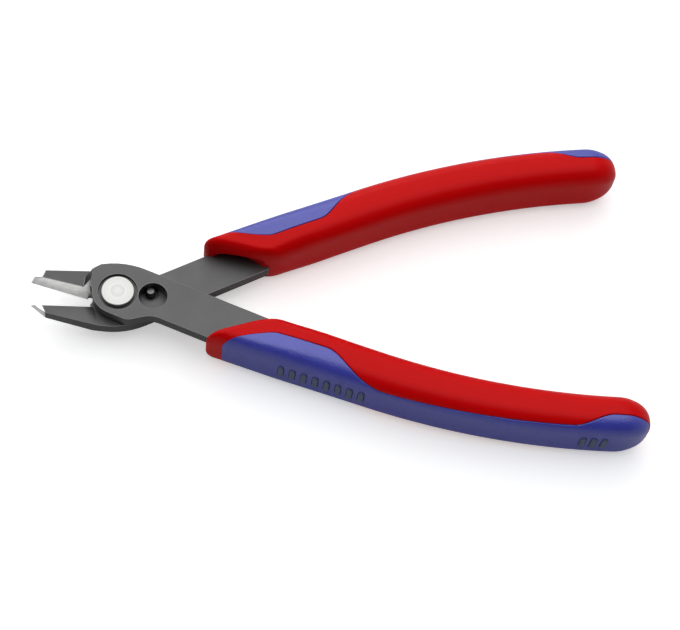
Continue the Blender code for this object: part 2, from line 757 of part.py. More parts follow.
def stud_body(name, grow, depth, proud):
    """A stud's rounded oval, standing out towards -Y from the face at Y = 0."""
    levels = [(grow, depth), (grow, STUD_ROUND - proud), (grow - STUD_ROUND, -proud)]
    rings = [[Vector((x, y, z)) for x, z in stadium(inset)] for inset, y in levels]
    return loft(name, rings)


def place_on_edge(thing, along, side=1):
    point, heading = outer_edge(along)
    thing.location = (point.x, side * point.y, 0.0)
    thing.rotation_euler = (0.0 if side > 0 else math.pi, 0.0, side * heading)


def dress(thing, finish, parent, turned_over=False):
    """Gives a piece its finish and hangs it on its half of the tool."""
    thing.data.materials.clear()
    thing.data.materials.append(finish)
    if thing.type == "MESH":
        thing.data.shade_smooth()
        thing.data.set_sharp_from_angle(angle=SHARP_ANGLE)
    thing.parent = parent
    if turned_over:
        thing.rotation_euler.x = math.pi
    return thing


def add_studs(name, mesh, finish, parent, side):
    for index, along in enumerate(stud_places()):
        group, number = ("fore", index + 1) if index < FRONT_STUDS else ("aft", index + 1 - FRONT_STUDS)
        stud = link(f"{name}_grip_stud_{group}_{number}", mesh)
        stud.parent = parent
        place_on_edge(stud, along, side)
        if not mesh.materials:
            mesh.materials.append(finish)


def add_empty(name, parent=None):
    made = link(name, None)
    made.parent = parent
    return made


def settle(tool):
    """Sets the tool down: its footprint centred on the origin, its lowest face at Z = 0."""
    bpy.context.view_layer.update()
    graph = bpy.context.evaluated_depsgraph_get()
    corners = []
    for thing in bpy.data.objects:
        if thing.type in ("MESH", "CURVE"):
            solid = thing.evaluated_get(graph)
            mesh = solid.to_mesh()
            corners += [solid.matrix_world @ vertex.co for vertex in mesh.vertices]
            solid.to_mesh_clear()
    low = [min(corner[axis] for corner in corners) for axis in range(3)]
    high = [max(corner[axis] for corner in corners) for axis in range(3)]
    tool.location = (-(low[0] + high[0]) / 2, -(low[1] + high[1]) / 2, -low[2])
    print("pivot at", [round(value / MM, 3) for value in tool.location], "mm")


def main():
    clear_scene()
    steel = make_material("burnished_steel", (0.13, 0.13, 0.13), 0.45, 0.9)
    polished = make_material("polished_stainless", (0.85, 0.85, 0.84), 0.2, 1.0)
    pin_steel = make_material("hardened_pin_steel", (0.35, 0.35, 0.36), 0.35, 1.0)
    wire = make_material("spring_wire", (0.5, 0.5, 0.5), 0.3, 1.0)
    red = make_material("red_hard_plastic", (0.58, 0.01, 0.01), 0.4, 0.0)
    blue = make_material("blue_soft_plastic", (0.06, 0.06, 0.33), 0.6, 0.0)
    grey = make_material("grey_stud_plastic", (0.09, 0.11, 0.14), 0.5, 0.0)

    tool = add_empty("tool")
    front = add_empty("front_half", tool)
    rear = add_empty("rear_half", tool)
    front.rotation_euler.z = -OPENING / 2
    rear.rotation_euler.z = OPENING / 2

    dress(front_lever(), steel, front)
    dress(rear_lever(), steel, rear)
    dress(pivot_rivet(), polished, front)
    dress(stop_pin(), pin_steel, rear)
    dress(opening_spring(), wire, front)
    core = dress(grip_core(), red, front)
    panel = dress(grip_panel(), blue, front)
    dress(link("rear_grip_core", core.data), red, rear, turned_over=True)
    dress(link("rear_grip_panel", panel.data), blue, rear, turned_over=True)

    stud = stud_body("stud", 0.0, STUD_DEPTH, STUD_PROUD)
    stud_mesh = stud.data
    bpy.data.objects.remove(stud, do_unlink=True)
    add_studs("front", stud_mesh, grey, front, 1)
    add_studs("rear", stud_mesh, grey, rear, -1)
    settle(tool)


main()
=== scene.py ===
"""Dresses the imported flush-cutting pliers and sets them on a pale studio floor.

The grips, studs, rivet and stop pin are new surfaces worked out with numpy on the CAD model's own sizes.
The levers keep their CAD shape, with every edge broken and the cutting faces ground bright.
"""

import logging
import math
from dataclasses import dataclass
from enum import Enum
from typing import Any

import bmesh
import bpy
import numpy as np
from mathutils import Matrix, Vector

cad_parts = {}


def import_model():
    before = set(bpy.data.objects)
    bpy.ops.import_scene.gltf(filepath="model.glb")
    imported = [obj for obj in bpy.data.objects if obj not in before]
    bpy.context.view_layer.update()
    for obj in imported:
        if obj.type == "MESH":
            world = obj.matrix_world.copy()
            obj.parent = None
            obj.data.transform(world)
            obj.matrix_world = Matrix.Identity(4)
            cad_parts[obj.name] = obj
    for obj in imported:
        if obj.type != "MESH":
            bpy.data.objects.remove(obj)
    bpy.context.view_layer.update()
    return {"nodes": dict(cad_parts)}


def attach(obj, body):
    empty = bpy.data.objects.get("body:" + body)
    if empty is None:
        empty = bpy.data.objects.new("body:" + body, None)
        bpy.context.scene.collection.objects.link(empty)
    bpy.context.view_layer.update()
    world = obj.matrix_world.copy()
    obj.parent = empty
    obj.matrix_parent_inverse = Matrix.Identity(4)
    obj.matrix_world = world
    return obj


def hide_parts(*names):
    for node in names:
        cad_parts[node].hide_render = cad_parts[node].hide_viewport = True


LOG = logging.getLogger("pliers")

MM = 0.001
PIVOT = np.array([-48.908, 0.0, 7.3]) * MM
OPENING = math.radians(16.6)
WHITE = (1.0, 1.0, 1.0, 1.0)

# Points closer than this are one point, and faces that meet at a larger angle than this have a sharp edge.
SAME_POINT = 0.001 * MM
SHARP_ANGLE = math.radians(35)


def turning(angle: float) -> np.ndarray:
    """Gives the matrix of a turn about Z: X and Y by the angle's cosine and sine, and Z as it is."""
    cosine, sine = math.cos(angle), math.sin(angle)
    return np.array([[cosine, -sine, 0], [sine, cosine, 0], [0, 0, 1]])


def quarter(steps: int) -> np.ndarray:
    """Gives the angles of a quarter turn at even steps."""
    return np.linspace(0, math.pi / 2, steps)


class Half(Enum):
    """The two halves of the tool, each with its side of the mid-plane."""

    FRONT = 1
    REAR = -1

    @property
    def label(self) -> str:
        """The half's name in the names of pieces."""
        return self.name.lower()

    @property
    def body(self) -> str:
        """The CAD body that the half's pieces ride on."""
        return f"{self.label}_half"

    def place(self, points: np.ndarray) -> np.ndarray:
        """Carries points of the closed front half to this half's place in the open tool.

        The rear half is the front one turned over about X.  Each half is then turned about the pivot by
        half the opening, and moved to the pivot.

        Args:
            points: An array of points, in metres from the pivot.

        Returns:
            The same points in the row frame.
        """
        turn = turning(-self.value * OPENING / 2)
        return (points * [1, self.value, self.value]) @ turn.T + PIVOT


class Pattern(Enum):
    """How a surface was made, which gives the run of its fine marks."""

    MOULDED = "moulded"
    GROUND = "ground"
    TURNED = "turned"


def linear(code: str) -> tuple[float, float, float, float]:
    """Turns an sRGB hex colour to linear light, by the curve and the numbers of the sRGB standard.

    Args:
        code: Six hex digits after a hash sign.

    Returns:
        Linear red, green and blue, and an alpha of one.
    """
    values = np.array([int(code[at : at + 2], 16) for at in (1, 3, 5)]) / 255
    low = values / 12.92
    high = ((values + 0.055) / 1.055) ** 2.4
    return (*np.where(values <= 0.04045, low, high).tolist(), 1.0)


def add_node(
    tree: bpy.types.NodeTree, kind: str, inputs: dict | None = None, **settings: Any
) -> bpy.types.Node:
    """Adds a shader node with its settings, values and links.

    Args:
        tree: The tree that gets the node.
        kind: Blender's name of the node's type.
        inputs: For each socket's name or number, a value or the output that is linked to it.
        settings: The node's own properties.

    Returns:
        The new node.
    """
    node = tree.nodes.new(kind)
    for key, value in settings.items():
        setattr(node, key, value)
    for key, value in (inputs or {}).items():
        if isinstance(value, bpy.types.NodeSocket):
            tree.links.new(value, node.inputs[key])
        else:
            node.inputs[key].default_value = value
    return node


@dataclass(frozen=True)
class Finish:
    """A surface finish: its colours, its gloss, and the size of its fine marks in millimetres."""

    name: str
    slot: str
    colour: str
    shade: str
    metallic: float
    roughness: tuple[float, float]
    pattern: Pattern = Pattern.MOULDED
    mottle: float = 6.0
    mottle_detail: float = 3.0
    grain: float = 0.3
    grain_detail: float = 2.0
    relief: float = 0.01
    stretch: float = 1.0
    specular: float = 0.5
    ior: float = 1.5

    def coordinates(self, tree: bpy.types.NodeTree) -> bpy.types.NodeSocket:
        """Gives the place that the fine marks are read at.

        Moulded marks are even in every direction.  Ground marks are drawn out across the blade.  Turned
        marks depend only on the distance from the pivot's axis.

        Args:
            tree: The material's tree.

        Returns:
            A vector output, in metres.
        """
        place = add_node(tree, "ShaderNodeTexCoord").outputs["Object"]
        if self.pattern is Pattern.GROUND:
            drawn_out = {"Vector": place, "Scale": (1, 1 / self.stretch, 1)}
            return add_node(tree, "ShaderNodeMapping", drawn_out).outputs[0]
        if self.pattern is Pattern.TURNED:
            from_pivot = {0: place, 1: PIVOT.tolist()}
            offset = add_node(tree, "ShaderNodeVectorMath", from_pivot, operation="SUBTRACT")
            in_plan = {0: offset.outputs[0], 1: (1, 1, 0)}
            flat = add_node(tree, "ShaderNodeVectorMath", in_plan, operation="MULTIPLY")
            radius = add_node(tree, "ShaderNodeVectorMath", {0: flat.outputs[0]}, operation="LENGTH")
            return add_node(tree, "ShaderNodeCombineXYZ", {"X": radius.outputs["Value"]}).outputs[0]
        return place

    def build(self) -> bpy.types.Material:
        """Makes the material.

        Returns:
            The new material.
        """
        made = bpy.data.materials.new(self.name)
        made.use_nodes = True
        tree = made.node_tree
        tree.nodes.clear()
        place = self.coordinates(tree)
        clouds = {"Vector": place, "Scale": 1 / (self.mottle * MM), "Detail": self.mottle_detail}
        cloud = add_node(tree, "ShaderNodeTexNoise", clouds)
        marks = {"Vector": place, "Scale": 1 / (self.grain * MM), "Detail": self.grain_detail}
        grain = add_node(tree, "ShaderNodeTexNoise", marks)
        # Sockets 6 and 7 of the mix are its two colours; the earlier ones belong to its other data types.
        tones = {"Factor": cloud.outputs[0], 6: linear(self.colour), 7: linear(self.shade)}
        colour = add_node(tree, "ShaderNodeMix", tones, data_type="RGBA")
        low, high = self.roughness
        shine = {"Value": grain.outputs[0], "To Min": low, "To Max": high}
        gloss = add_node(tree, "ShaderNodeMapRange", shine)
        heights = {"Height": grain.outputs[0], "Strength": 1.0, "Distance": self.relief * MM}
        bump = add_node(tree, "ShaderNodeBump", heights)
        shader = add_node(
            tree,
            "ShaderNodeBsdfPrincipled",
            {
                "Base Color": colour.outputs[2],
                "Roughness": gloss.outputs[0],
                "Normal": bump.outputs[0],
                "Metallic": self.metallic,
                "IOR": self.ior,
                "Specular IOR Level": self.specular,
            },
        )
        add_node(tree, "ShaderNodeOutputMaterial", {"Surface": shader.outputs[0]})
        return made


# The real fine marks are about a tenth of a millimetre wide, too fine to show in the render.  All but the
# ground ones are drawn two to four times as coarse.

# Tool steel, blackened in a hot bath and burnished: a dark even grey with a satin shine.
BURNISHED = Finish(
    "burnished_tool_steel",
    "burnished_steel",
    "#515151",
    "#474748",
    0.85,
    (0.36, 0.5),
    grain=0.22,
    relief=0.004,
)
# The same steel in a lighter grey for the broken edges: a painted edge highlight.
EDGE_HIGHLIGHT_STEEL = Finish("rubbed_tool_steel", "burnished_steel", "#808081", "#68686a", 0.9, (0.3, 0.42), relief=0.003)
# The same steel ground bare on a fine wheel: bright, with marks across the blade.
GROUND = Finish(
    "ground_tool_steel",
    "burnished_steel",
    "#e2e2e1",
    "#b8b8b7",
    1.0,
    (0.22, 0.4),
    Pattern.GROUND,
    mottle=1.5,
    grain=0.12,
    relief=0.004,
    stretch=12,
)
# Stainless steel, faced on a lathe and polished: nearly white, with faint rings.
POLISHED = Finish(
    "faced_stainless_steel",
    "polished_stainless",
    "#b6b6b4",
    "#868684",
    1.0,
    (0.2, 0.45),
    Pattern.TURNED,
    mottle=0.8,
    grain=0.4,
    relief=0.02,
)
# Hardened steel, ground round and oiled.
PIN = Finish("hardened_pin_steel", "pin_steel", "#68686a", "#58585a", 1.0, (0.3, 0.4), relief=0.003)
# Cold-drawn spring wire.
WIRE = Finish("drawn_spring_wire", "spring_wire", "#b8b8b6", "#a2a2a0", 1.0, (0.25, 0.4), relief=0.003)
# Hard polypropylene from an eroded mould: an even red with a satin skin.
RED = Finish(
    "moulded_red_polypropylene",
    "red_hard_plastic",
    "#d60306",
    "#ce0205",
    0.0,
    (0.3, 0.4),
    grain=0.35,
    relief=0.006,
    specular=0.09,
    ior=1.49,
)
# Soft thermoplastic rubber moulded over it: a deep blue whose grain spreads the light that it reflects.
BLUE = Finish(
    "overmoulded_blue_rubber",
    "blue_soft_plastic",
    "#333bb0",
    "#2b32a2",
    0.0,
    (0.26, 0.4),
    grain=0.32,
    relief=0.09,
    specular=0.75,
)
# The same rubber in slate, a grey with a blue cast, and duller.
SLATE = Finish(
    "moulded_slate_rubber",
    "grey_stud_plastic",
    "#4a577a",
    "#424e6e",
    0.0,
    (0.42, 0.55),
    grain=0.3,
    relief=0.008,
)

FINISHES = (BURNISHED, EDGE_HIGHLIGHT_STEEL, GROUND, POLISHED, PIN, WIRE, RED, BLUE, SLATE)


def grid_faces(rows: int, columns: int) -> list[list[int]]:
    """Gives the faces of a tube: quads between neighbouring rings, and a cap on the first and last ring.

    Each quad joins a point, the next one round its ring, and the same two of the next ring.

    Args:
        rows: The number of rings.
        columns: The number of points of each ring, which closes on itself.

    Returns:
        The faces as lists of point numbers.
    """
    row, column = np.meshgrid(np.arange(rows - 1) * columns, np.arange(columns), indexing="ij")
    after = (column + 1) % columns
    quads = np.stack([row + column, row + after, row + columns + after, row + columns + column], -1)
    caps = [list(range(columns)), list(range((rows - 1) * columns, rows * columns))]
    return quads.reshape(-1, 4).tolist() + caps


def solid(name: str, rings: np.ndarray) -> bpy.types.Object:
    """Makes a closed, smooth-shaded piece from an array of rings, with its faces pointing out.

    Args:
        name: The piece's name.
        rings: Points as an array of rings by points by three.

    Returns:
        The new object, at the origin.
    """
    mesh = bpy.data.meshes.new(name)
    mesh.from_pydata(rings.reshape(-1, 3), [], grid_faces(*rings.shape[:2]))
    tidy(mesh)
    made = bpy.data.objects.new(name, mesh)
    bpy.context.scene.collection.objects.link(made)
    return made


def tidy(mesh: bpy.types.Mesh) -> None:
    """Merges a mesh's doubled points and points its faces out.

    Args:
        mesh: The mesh, changed in place.
    """
    bm = bmesh.new()
    bm.from_mesh(mesh)
    bmesh.ops.remove_doubles(bm, verts=bm.verts, dist=SAME_POINT)
    bmesh.ops.recalc_face_normals(bm, faces=bm.faces)
    bm.to_mesh(mesh)
    bm.free()
    mesh.shade_smooth()
    mesh.set_sharp_from_angle(angle=SHARP_ANGLE)


def join_flats(mesh: bpy.types.Mesh, angle: float, sliver: float, across: Vector) -> None:
    """Joins the triangles of each flat face, with one line left through the pivot and the holes round it.

    A face has no room for a hole in it, and that line divides each holed face into two whole ones.

    Args:
        mesh: The mesh, changed in place.
        angle: The angle up to which neighbouring triangles are one flat face.
        sliver: The length up to which an edge is taken out.
        across: The direction square to the line.
    """
    bm = bmesh.new()
    bm.from_mesh(mesh)
    everything = bm.verts[:] + bm.edges[:] + bm.faces[:]
    line = bmesh.ops.bisect_plane(
        bm, geom=everything, dist=SAME_POINT, plane_co=PIVOT.tolist(), plane_no=across
    )
    for edge in line["geom_cut"]:
        if isinstance(edge, bmesh.types.BMEdge):
            edge.seam = True
    bmesh.ops.dissolve_degenerate(bm, dist=sliver, edges=bm.edges)
    bmesh.ops.dissolve_limit(bm, angle_limit=angle, verts=bm.verts, edges=bm.edges, delimit={"SEAM"})
    bm.to_mesh(mesh)
    bm.free()


def turned(profile: np.ndarray, centre: tuple[float, float], steps: int) -> np.ndarray:
    """Turns a profile about a vertical axis: each point goes round a circle of its own radius.

    Args:
        profile: Points as an array of (radius, height).
        centre: The axis in X and Y.
        steps: The number of points round.

    Returns:
        One ring of points for each point of the profile.
    """
    angle = np.linspace(0, 2 * math.pi, steps, endpoint=False)
    x = centre[0] + profile[:, :1] * np.cos(angle)
    y = centre[1] + profile[:, :1] * np.sin(angle)
    return np.stack([x, y, np.broadcast_to(profile[:, 1:], x.shape)], -1)


def cut(target: bpy.types.Object, tools: list[bpy.types.Object]) -> None:
    """Cuts tools from a piece and removes them.

    Args:
        target: The piece that is cut.
        tools: The closed solids that are taken away.
    """
    for tool in tools:
        modifier = target.modifiers.new("cut", "BOOLEAN")
        modifier.operation = "DIFFERENCE"
        modifier.solver = "EXACT"
        modifier.object = tool
        bpy.context.view_layer.update()
        graph = bpy.context.evaluated_depsgraph_get()
        target.data = bpy.data.meshes.new_from_object(target.evaluated_get(graph))
        target.modifiers.clear()
        bpy.data.objects.remove(tool, do_unlink=True)


def install(piece: bpy.types.Object, half: Half, finish: Finish, *nodes: str) -> None:
    """Sets a piece on its half of the tool in place of CAD nodes.

    Args:
        piece: The piece, in place in the row frame.
        half: The half that it moves with.
        finish: Not used.
        nodes: The CAD nodes that it stands for.
    """
    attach(piece, half.body)
    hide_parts(*nodes)
    LOG.info("%s rides on %s for %s", piece.name, half.body, ", ".join(nodes))


def ease(value: np.ndarray) -> np.ndarray:
    """Goes smoothly from nought to one: three times the square less twice the cube."""
    value = np.clip(value, 0.0, 1.0)
    return value * value * (3 - 2 * value)


@dataclass(frozen=True)
class Section:
    """The grip's rounded sections at a run of stations, each walked from its outer edge over the top."""

    outer: np.ndarray
    across: np.ndarray
    width: np.ndarray
    half: np.ndarray
    corner: np.ndarray

    @property
    def side(self) -> np.ndarray:
        """The straight height from the mid-plane to the rounding."""
        return self.half - self.corner

    @property
    def arc(self) -> np.ndarray:
        """The length of a quarter round."""
        return math.pi * self.corner / 2

    @property
    def length(self) -> np.ndarray:
        """The way from the outer edge over the top to the inner edge."""
        return 2 * self.side + 2 * self.arc + self.width - 2 * self.corner

    def point(self, walked: np.ndarray, depth: np.ndarray) -> np.ndarray:
        """Finds points on the sections.

        A point goes up the side, round a quarter circle and along the flat top.  Past the middle the same
        walk is measured from the inner edge.  The depth shrinks the quarter circle and sinks the flats.

        Args:
            walked: Distances round each section, as stations by points.
            depth: How far each point is sunk below the skin.

        Returns:
            Points as an array of stations by points by three.
        """
        far = walked > self.length / 2
        near = np.where(far, self.length - walked, walked)
        angle = np.clip(near - self.side, 0, self.arc) / self.corner
        rounding = self.corner - depth
        across = self.corner - rounding * np.cos(angle) + np.maximum(near - self.side - self.arc, 0)
        across = np.where(far, self.width - across, across)
        height = np.minimum(near, self.side) + rounding * np.sin(angle)
        place = self.outer[:, None] + self.across[:, None] * across[..., None]
        return np.concatenate([place, height[..., None]], -1)


@dataclass(frozen=True)
class Grip:
    """One two-colour moulded grip: a red core, a blue panel over its outer edge, and studs in the panel."""

    thickness: float = 14.6 * MM
    nose_back: float = 20.5 * MM
    nose_out: float = 9.41 * MM
    slope: float = math.radians(12.1)
    straight: float = 38.0 * MM
    bend: float = 186.0 * MM
    length: float = 101.6 * MM
    width_front: float = 10.3 * MM
    width_rear: float = 9.4 * MM
    corner: float = 3.9 * MM
    widest_corner: float = 0.45
    tallest_corner: float = 0.9
    front_lead: float = 15.0 * MM
    front_fade: float = 35.0 * MM
    front_start: float = 1.5 * MM
    front_crown: float = 4.0 * MM
    front_drop: float = 0.8 * MM
    front_drop_run: float = 20.0 * MM
    rear_round: float = 8.0 * MM
    tail_reach: float = 0.93
    squareness: float = 2.2
    crown_limit: float = 0.99999

    # The panel.  Its shares are of the way from the grip's outer edge over the top to the inner one.
    panel_thickness: float = 1.4 * MM
    mould_line: float = 0.10 * MM
    lip: float = 0.22 * MM
    widest_lip: float = 0.1
    front_lobe_share: float = 0.52
    waist_share: float = 0.225
    hip_share: float = 0.30
    rear_lobe_share: float = 0.455
    nose_share: float = 0.01
    tail_share: float = 0.36
    panel_start: float = 4.0 * MM
    start_round: float = 5.5 * MM
    front_lobe_end: float = 23.5 * MM
    front_lobe_fade: float = 18.0 * MM
    rear_lobe_start: float = 83.0 * MM
    rear_lobe_fade: float = 9.5 * MM
    panel_end: float = 0.8 * MM
    end_round: float = 6.0 * MM

    # The lever's arm, and the recess that it enters.
    arm_angle: float = math.radians(16.5)
    arm_width: float = 9.9 * MM
    arm_offset: float = 2.7 * MM
    arm_inner_length: float = 33.8 * MM
    arm_outer_length: float = 23.8 * MM
    clearance: float = 0.15 * MM
    mouth_depth: float = 2.6 * MM
    mouth_height: float = 6.6 * MM
    mouth_share: float = 0.3

    # The studs.  Each row has its count, the first stud's distance from the nose, and the pitch.
    stud_length: float = 4.3 * MM
    stud_width: float = 1.35 * MM
    stud_depth: float = 0.7 * MM
    stud_proud: float = 0.35 * MM
    stud_round: float = 0.30 * MM
    stud_ridge: float = 0.02 * MM
    fore_studs: tuple[int, float, float] = (8, 17.9 * MM, 2.65 * MM)
    aft_studs: tuple[int, float, float] = (3, 86.3 * MM, 2.4 * MM)

    # The spacing of the panel's sections, and the number of points in each curve.
    station_step: float = 0.8 * MM
    front_steps: int = 5
    crown_steps: int = 12
    lobe_steps: int = 24
    skin_steps: int = 26
    floor_steps: int = 10
    lip_steps: int = 4
    arch_steps: int = 25
    stud_steps: int = 12
    stud_round_steps: int = 6

    def outer_edge(self, along: np.ndarray) -> tuple[np.ndarray, np.ndarray]:
        """Follows the grip's outer edge: a straight run that falls away, then a long circular bend.

        Args:
            along: Distances from the grip's nose.

        Returns:
            Points as an array by two, and the heading at each.
        """
        straight = np.minimum(along, self.straight)
        heading = (along - straight) / self.bend - self.slope
        x = self.nose_back + straight * math.cos(self.slope)
        y = -self.nose_out - straight * math.sin(self.slope)
        x = x + self.bend * (np.sin(heading) + math.sin(self.slope))
        y = y + self.bend * (math.cos(self.slope) - np.cos(heading))
        return np.stack([x, y], -1), heading

    def inner_edge(self, along: np.ndarray) -> np.ndarray:
        """Gives the inner edge: the outer one moved square to its heading by a width that narrows evenly."""
        point, heading = self.outer_edge(along)
        width = self.width_front + (self.width_rear - self.width_front) * along / self.length
        return point + width[:, None] * np.stack([-np.sin(heading), np.cos(heading)], -1)

    def section(self, along: np.ndarray) -> Section:
        """Works out the grip's sections.

        The front stations lie obliquely, with the inner point leading by less and less.  Past either end
        the section shrinks as a superellipse of the distance over the end's crown.

        Args:
            along: Distances from the nose, below nought on the front crown.

        Returns:
            The sections at those stations.
        """
        body = np.clip(along, self.front_start, self.length - self.rear_round)
        lead = self.front_lead * np.maximum(0.0, 1 - body / self.front_fade)
        outer, heading = self.outer_edge(body)
        span = self.inner_edge(body + lead) - outer
        across = span / np.linalg.norm(span, axis=1, keepdims=True)
        crown = np.where(along < body, self.front_crown, self.rear_round)
        past = np.minimum(np.abs(along - body) / crown, self.crown_limit)
        shrink = (1 - past**self.squareness) ** (1 / self.squareness)
        forward = np.stack([np.cos(heading), np.sin(heading)], -1)
        middle = outer + span / 2 + forward * (along - body)[:, None]
        drop = self.front_drop * (1 - ease(body / self.front_drop_run))
        half = (self.thickness / 2 - drop) * shrink
        width = np.linalg.norm(span, axis=1) * shrink
        corner = np.minimum(np.minimum(self.corner, self.widest_corner * width), self.tallest_corner * half)
        start = middle - across * width[:, None] / 2
        return Section(start, across, width[:, None], half[:, None], corner[:, None])

    def panel_share(self, along: np.ndarray) -> np.ndarray:
        """Gives the share of the half section that the panel covers.

        It is a band that widens evenly to the rear and eases out into a lobe near each end.  Both lobes are
        rounded off by a quarter ellipse.

        Args:
            along: Distances from the nose.

        Returns:
            The shares, from nought to one.
        """

        def rounded(lobe: np.ndarray, distance: np.ndarray, run: float, share: float) -> np.ndarray:
            """Grows from a share at the panel's end to the lobe's, as a quarter ellipse."""
            left = 1 - np.clip(distance / run, 0.0, 1.0)
            return share + (lobe - share) * np.sqrt(1 - left * left)

        waist = self.front_lobe_end + self.front_lobe_fade
        passed = np.clip((along - waist) / (self.rear_lobe_start - waist), 0.0, 1.0)
        band = self.waist_share + (self.hip_share - self.waist_share) * passed
        faded = ease((along - self.front_lobe_end) / self.front_lobe_fade)
        front = (self.front_lobe_share - band) * (1 - faded)
        rear = (self.rear_lobe_share - band) * ease((along - self.rear_lobe_start) / self.rear_lobe_fade)
        nose = rounded(band + front + rear, along - self.panel_start, self.start_round, self.nose_share)
        return rounded(nose, self.length - self.panel_end - along, self.end_round, self.tail_share)

    def panel_stations(self) -> np.ndarray:
        """Gives the stations along the panel, close together where its ends are rounded."""
        last = self.length - self.panel_end
        curve = 1 - np.cos(quarter(self.lobe_steps))
        even = np.arange(self.panel_start + self.start_round, last - self.end_round, self.station_step)
        nose = self.panel_start + self.start_round * curve
        return np.concatenate([nose[:-1], even, last - self.end_round * curve[::-1]])

    @staticmethod
    def both_sides(upper: np.ndarray) -> np.ndarray:
        """Closes half rings with their mirror image below the mid-plane, without the two shared points."""
        lower = upper[:, -2:0:-1] * [1, 1, -1]
        return np.concatenate([upper, lower], 1)

    def panel_rings(self) -> np.ndarray:
        """Works out the panel: a skin on the section, a rounded lip, and an underside at an even depth.

        Returns:
            Rings of points, one at each station.
        """
        along = self.panel_stations()
        section = self.section(along)
        reach = self.panel_share(along)[:, None] * section.length
        flat = reach - self.lip
        turn = quarter(self.lip_steps + 1)[1:]
        run = np.linspace(0, 1, self.skin_steps)
        skin = np.concatenate([run * flat, flat + self.lip * np.sin(turn)], 1)
        end = np.minimum(along - along[0], along[-1] - along)[:, None]
        past_end = np.clip(1 - end / self.lip, 0, 1)
        past_side = np.clip((skin - flat) / self.lip, 0, 1)
        skin_depth = self.lip * (1 - np.sqrt(np.clip(1 - past_end**2 - past_side**2, 0, 1)))
        under = np.linspace(1, 0, self.floor_steps) * reach
        thickness = np.minimum(self.panel_thickness, section.corner / 2)
        depth = np.concatenate([skin_depth, np.broadcast_to(thickness, under.shape)], 1)
        return self.both_sides(section.point(np.concatenate([skin, under], 1), depth))

    def core_rings(self) -> np.ndarray:
        """Works out the core: a floor sunk under the panel, a rounded lip, and a skin to the inner edge.

        Outside the panel the floor and lip lie in the skin, so every ring has the same points.

        Returns:
            Rings of points, one at each station.
        """
        panel = self.panel_stations()
        first = panel[0] - self.mould_line
        last = panel[-1] + self.mould_line
        curve = np.sin(quarter(self.crown_steps))
        nose = self.front_start - self.front_crown * curve[::-1]
        front = np.concatenate([nose, np.linspace(self.front_start, first, self.front_steps)[1:]])
        tail = last + (self.length - last) * self.tail_reach * curve
        along = np.concatenate([front, [first], panel, [last], tail])
        rebated = np.repeat([0.0, 1.0, 0.0], [len(front), len(panel) + 2, len(tail)])[:, None]
        section = self.section(along)
        share = self.panel_share(np.clip(along, panel[0], panel[-1]))[:, None]
        reach = share * section.length + self.mould_line * rebated
        lip = np.minimum(self.lip, self.widest_lip * (section.length - reach))
        turn = quarter(self.lip_steps + 1)
        run = np.linspace(0, 1, self.skin_steps)
        floor = np.linspace(0, 1, self.floor_steps) * reach
        rim = reach + lip * (1 - np.cos(turn))
        skin = reach + lip + run[1:] * (section.length - reach - lip)
        sunk = np.minimum(self.panel_thickness, section.corner / 2) + self.mould_line
        depth = np.concatenate(
            [np.broadcast_to(sunk, floor.shape), lip * (1 - np.sin(turn)), np.zeros(skin.shape)], 1
        )
        return self.both_sides(section.point(np.concatenate([floor, rim, skin], 1), depth * rebated))

    def arm_point(self, along: float, across: float) -> np.ndarray:
        """Gives a point of the lever's arm, measured from the pivot along and across the arm."""
        cosine, sine = math.cos(self.arm_angle), math.sin(self.arm_angle)
        return np.array([along * cosine + across * sine, across * cosine - along * sine])

    def mouth_rings(self) -> np.ndarray:
        """Works out the recess behind the grip's front that the arm enters.

        It reaches across the arm from a share of the front's width to the arm's inner edge.  The arm fills
        its one side.  The other is an arch over that reach, a half ellipse that closes on the arm at both
        ends.

        Returns:
            Rings of four points, one at each step across the arm.
        """
        front = self.section(np.array([self.front_start]))
        outer, across, width = front.outer[0], front.across[0], front.width[0, 0]
        back = np.array([across[1], -across[0]]) * (self.mouth_depth - self.front_start)
        wide = self.arm_offset + self.arm_width / 2 + self.clearance
        near = outer + across * width * self.mouth_share + back
        far = self.arm_point(self.arm_inner_length + self.clearance, wide)
        step = np.linspace(0, 1, self.arch_steps)[:, None]
        deep = near + (far - near) * step
        open_end = deep - self.arm_point(self.arm_outer_length, 0.0)
        arch = np.sqrt(1 - (2 * step - 1) ** 2) * self.mouth_height / 2
        low = -self.clearance - arch * (1 - 2 * self.clearance / self.mouth_height)
        high = np.full(low.shape, self.mouth_height / 2)
        corners = [(open_end, low), (deep, low), (deep, high), (open_end, high)]
        return np.stack([np.concatenate(corner, 1) for corner in corners], 1)

    def stud_places(self) -> dict[str, float]:
        """Gives each stud's name and its distance from the grip's nose."""
        places = {}
        for group, (count, start, pitch) in (("fore", self.fore_studs), ("aft", self.aft_studs)):
            places.update({f"{group}_{index + 1}": start + pitch * index for index in range(count)})
        return places

